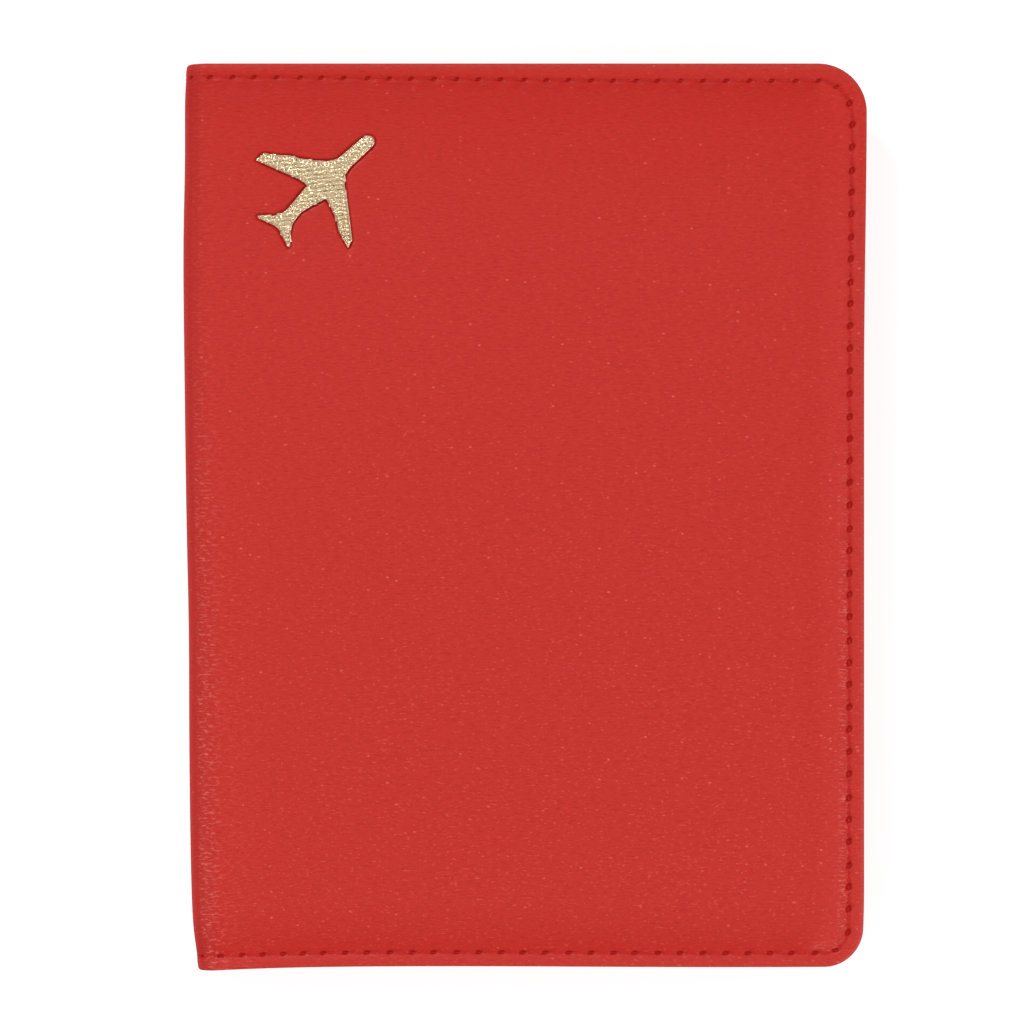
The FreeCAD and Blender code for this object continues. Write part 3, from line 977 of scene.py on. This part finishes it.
def straight_stitches(start, end):
    """Rows of plan points for stitches along a straight run."""
    start, end = np.array(start, float), np.array(end, float)
    count = round(np.linalg.norm(end - start) / STITCH)
    share = (np.arange(count)[:, None] + np.linspace(0.03, 0.97, 14)[None, :]) / count
    return start + share[..., None] * (end - start)


def joined_stitches(name, side, runs):
    places = np.concatenate([straight_stitches(start, end) for start, end in runs])
    return inner_stitches(name, side, places[..., 0], places[..., 1])


# ---- embroidery

TIE_PITCH = 2.2
PADDED = 1.2  # width over which the padding rises from the aeroplane's outline


def row_spans(level, direction, across):
    """Where a row at a level crosses the aeroplane, as pairs of distances along it."""
    u, v = EMBLEM @ direction, EMBLEM @ across
    u2, v2 = np.roll(u, -1), np.roll(v, -1)
    hit = (v > level) != (v2 > level)
    at = np.sort(u[hit] + (level - v[hit]) * (u2[hit] - u[hit]) / (v2[hit] - v[hit]))
    return at.reshape(-1, 2)


def gold_strand(parts, xy, height, radius, sides):
    """One gold thread for each row of places and heights over the cover."""
    height = np.broadcast_to(CLOSED_H + height, xy.shape[:-1])[..., None]
    path = np.concatenate((xy, height), axis=-1) * MM
    strands(parts, path, np.broadcast_to((0.0, 0.0, 1.0), path.shape), radius, sides=sides)


def padding(xy):
    """How high the aeroplane is padded, from 0 at its outline to 1."""
    inside = np.clip(-distance_to_emblem(xy[..., 0], xy[..., 1]) / PADDED, 0, 1)
    return np.sqrt(1 - (1 - inside) ** 2)


def satin_rows(parts, rng, tilt, pitch, radius, cap, base, crown, ragged):
    """Rows of thread over the padding, tilted by so many degrees, with dips at their ties."""
    tilt = math.radians(tilt)
    direction = np.array([math.cos(tilt), math.sin(tilt)])
    across = np.array([-math.sin(tilt), math.cos(tilt)])
    levels = EMBLEM @ across
    for number, level in enumerate(np.arange(levels.min() + 0.3, levels.max() - 0.2, pitch)):
        level += ragged * rng.uniform(-0.5, 0.5)
        for low, high in row_spans(level, direction, across):
            low += cap + 0.6 * ragged * rng.uniform(-1, 1)
            high -= cap + 0.6 * ragged * rng.uniform(-1, 1)
            length = high - low
            if length < 0.3:
                continue
            t = np.linspace(0, 1, max(12, int(length / 0.1)))
            u = low + length * t
            lean = (-1) ** number * 0.12 * (t - 0.5) + 0.5 * ragged * np.sin(u * 1.9 + 1.7 * number)
            xy = u[:, None] * direction + (level + lean)[:, None] * across
            height = (crown + 0.5 * ragged * rng.uniform(-1, 1)) * padding(xy)
            ties = low + TIE_PITCH * (0.5 * (number % 2) + np.arange(-1, 10)) + rng.uniform(-0.5, 0.5, 11)
            for tie in ties[(ties > low + 0.4) & (ties < high - 0.4)]:
                height = height - crown * rng.uniform(0.15, 0.42) * hump(u, tie, 0.28)
            height = height + 0.4 * ragged * np.sin(u * rng.uniform(2.5, 4.5) + number)
            gold_strand(parts, xy[None], base + height[None], radius * rng.uniform(0.92, 1.1), 10)


def outline_places(spacing):
    """Places along the aeroplane's outline, and the outward direction at each."""
    loop = np.concatenate((EMBLEM, EMBLEM[:1]))
    lengths = np.linalg.norm(np.diff(loop, axis=0), axis=1)
    starts = np.concatenate(([0], np.cumsum(lengths)))
    places = np.arange(0, starts[-1], spacing)
    on_edge = np.column_stack([np.interp(places, starts, axis) for axis in loop.T])
    slope = []
    for step in np.array([(0.05, 0), (0, 0.05)]):
        ahead, behind = (on_edge + step).T, (on_edge - step).T
        slope.append(distance_to_emblem(*ahead) - distance_to_emblem(*behind))
    return on_edge, normalised(np.stack(slope, axis=-1), 1e-6)


def edge_strand(parts, inset, radius):
    """One strand that runs round the aeroplane just inside its outline."""
    on_edge, outward = outline_places(0.12)
    xy = on_edge - inset * outward
    for _ in range(2):
        xy = (np.roll(xy, 1, axis=0) + xy + np.roll(xy, -1, axis=0)) / 3
    gold_strand(parts, np.concatenate((xy, xy[:2]))[None], 0.0, radius, 8)


def edge_stitches(parts, rng, pitch, reach, base, crown, radius):
    """Short stitches square to the aeroplane's outline, left out in its narrow tips."""
    on_edge, outward = outline_places(pitch)
    tip = on_edge - reach * outward
    wide = distance_to_emblem(tip[:, 0], tip[:, 1]) < -0.55 * reach
    on_edge, outward = on_edge[wide], outward[wide]
    inset = 0.16
    t = np.linspace(0, 1, 9)[None, :, None]
    lengthwise = reach * rng.uniform(0.7, 1.2, (len(on_edge), 1, 1))
    xy = on_edge[:, None] - (inset + lengthwise * t) * outward[:, None]
    height = base + crown * padding(xy) + rng.uniform(-0.04, 0.04, (len(on_edge), 1))
    gold_strand(parts, xy, height, radius, 8)


def embroidered_plane():
    """Underlay rows, short stitches square to the edge, and broken rows over both."""
    parts = MeshParts()
    rng = np.random.default_rng(8)
    satin_rows(parts, rng, 96, pitch=0.36, radius=0.22, cap=0.14, base=-0.22, crown=0.5, ragged=0.0)
    edge_strand(parts, inset=0.15, radius=0.15)
    edge_stitches(parts, rng, pitch=0.66, reach=0.9, base=-0.16, crown=0.56, radius=0.27)
    satin_rows(parts, rng, 6, pitch=0.66, radius=0.29, cap=0.26, base=-0.18, crown=0.62, ragged=0.08)
    return parts.make("embroidered_aeroplane", GOLD_THREAD)


# ---- assembly


def bend_at_fold(piece, side):
    """Bakes the piece's placement into its mesh."""
    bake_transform(piece)


def place_piece(piece, side, slot, *nodes, folds=False):
    if folds:
        bend_at_fold(piece, side)
    else:
        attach(piece, f"{side}_cover")
    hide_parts(*nodes)


def build_cover(side):
    """One cover's sheets and the perimeter seam's threads."""
    place_piece(outer_leatherette(side), side, "outer_leatherette", f"{side}_cover_skin",
                f"{side}_turned_margin", "spine_skin", folds=True)
    place_piece(needle_thread(side), side, "sewing_thread", f"{side}_needle_thread", "spine_needle_thread",
                folds=True)
    lining = lining_sheet(side)
    place_piece(lining, side, "lining_cloth", f"{side}_lining", "spine_lining", folds=True)
    place_piece(bobbin_thread(side), side, "sewing_thread", f"{side}_bobbin_thread", "spine_bobbin_thread",
                folds=True)
    place_piece(sleeve_sheet(side), side, "inner_leatherette", f"{side}_sleeve_hem",
                f"{side}_passport_sleeve")


def build_pockets():
    for level, (foot, top) in POCKETS.items():
        place_piece(pocket_sheet(f"{level}_pocket", foot, top), "front", "inner_leatherette",
                    f"{level}_card_pocket", f"{level}_card_pocket_hem")


def build_inner_stitches():
    """The stitches of the back sleeve's free edge and of the card pockets' own seams."""
    stop = HALF_H - SEAM_INSET - 1
    edge = SLEEVE_START["back"] + SEAM_INSET
    sleeve_edge = joined_stitches("back_sleeve_edge_stitches", "back", [((edge, stop), (edge, -stop))])
    place_piece(sleeve_edge, "back", "sewing_thread", "back_sleeve_edge_thread")
    side_x = SLEEVE_START["front"] + POCKET_SEAM_INSET
    foot_y = POCKETS["upper"][0] + POCKET_SEAM_INSET
    lower_top, upper_top = (POCKETS[level][1] - 0.3 for level in ("lower", "upper"))
    runs = [
        ((side_x, -stop), (side_x, lower_top)),
        ((side_x, upper_top), (side_x, foot_y)),
        ((side_x, foot_y), (FORE - SEAM_INSET - 1, foot_y)),
    ]
    pocket_seams = joined_stitches("card_pocket_stitches", "front", runs)
    place_piece(pocket_seams, "front", "sewing_thread", "card_pocket_thread")


def dress_boards():
    for node, material in (("front_board", BOARD), ("back_board", BOARD), ("embroidery_backing", STABILISER)):
        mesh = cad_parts[node].data
        mesh.materials.clear()
        mesh.materials.append(material)


# ---- camera, floor and light


def floor():
    """A pale floor that glows, so that it comes out white with a faint shadow."""
    half, below = 30.0, 0.0002
    corners = [(-half, -half, 0), (half, -half, 0), (half, half, 0), (-half, half, 0)]
    mesh = bpy.data.meshes.new("floor")
    mesh.from_pydata(corners, [], [(0, 1, 2, 3)])
    pale = Shader("floor", 0.9, Base_Color=(0.45, 0.45, 0.45, 1), Specular_IOR_Level=0.1,
                  Emission_Color=(1, 1, 1, 1), Emission_Strength=0.69)
    mesh.materials.append(pale.material)
    plane = add_object("floor", mesh)
    plane.location.z = -below


def area_light(name, place, size, watts, target=(0, 0, 0)):
    light = bpy.data.lights.new(name, "AREA")
    light.shape = "DISK"
    light.size = size
    light.energy = watts
    lamp = add_object(name, light)
    lamp.location = place
    lamp.visible_camera = False
    lamp.rotation_mode = "QUATERNION"
    lamp.rotation_quaternion = (Vector(target) - Vector(place)).to_track_quat("-Z", "Y")


def sky():
    """A grey surround, lighter at the horizon and below it."""
    world = bpy.data.worlds.new("studio")
    world.use_nodes = True
    nodes, links = world.node_tree.nodes, world.node_tree.links
    height = nodes.new("ShaderNodeSeparateXYZ")
    links.new(nodes.new("ShaderNodeTexCoord").outputs["Generated"], height.inputs["Vector"])
    fade = nodes.new("ShaderNodeValToRGB")
    for stop, place, grey in zip(fade.color_ramp.elements, (0.05, 0.25), (0.95, 0.49)):
        stop.position = place
        stop.color = (grey, grey, grey, 1)
    links.new(height.outputs["Z"], fade.inputs["Fac"])
    links.new(fade.outputs["Color"], nodes["Background"].inputs["Color"])
    return world


def studio():
    scene = bpy.context.scene
    scene.world = sky()
    area_light("key", (-0.52, 0.81, 0.98), size=0.235, watts=8.2)
    area_light("fill", (0.46, -0.33, 0.46), size=0.36, watts=2.15)
    area_light("low", (-0.19, -0.09, 0.16), size=0.03, watts=0.06, target=(-0.055, -0.045, 0.01))
    scene.view_settings.view_transform = "Standard"
    scene.view_settings.look = "None"


def camera():
    """Looks straight down on the closed holder."""
    height, view_width, sensor = 0.7, 158.7 * MM, 36.0
    data = bpy.data.cameras.new("camera")
    data.sensor_width = sensor
    data.lens = sensor * height / view_width
    cam = add_object("camera", data)
    cam.location = (-2.0 * MM, 0.4 * MM, CLOSED_H * MM + height)
    bpy.context.scene.camera = cam


for cover in SIDES:
    build_cover(cover)
build_pockets()
build_inner_stitches()
place_piece(embroidered_plane(), "front", "gold_thread", "plane_embroidery")
dress_boards()
floor()
studio()
camera()
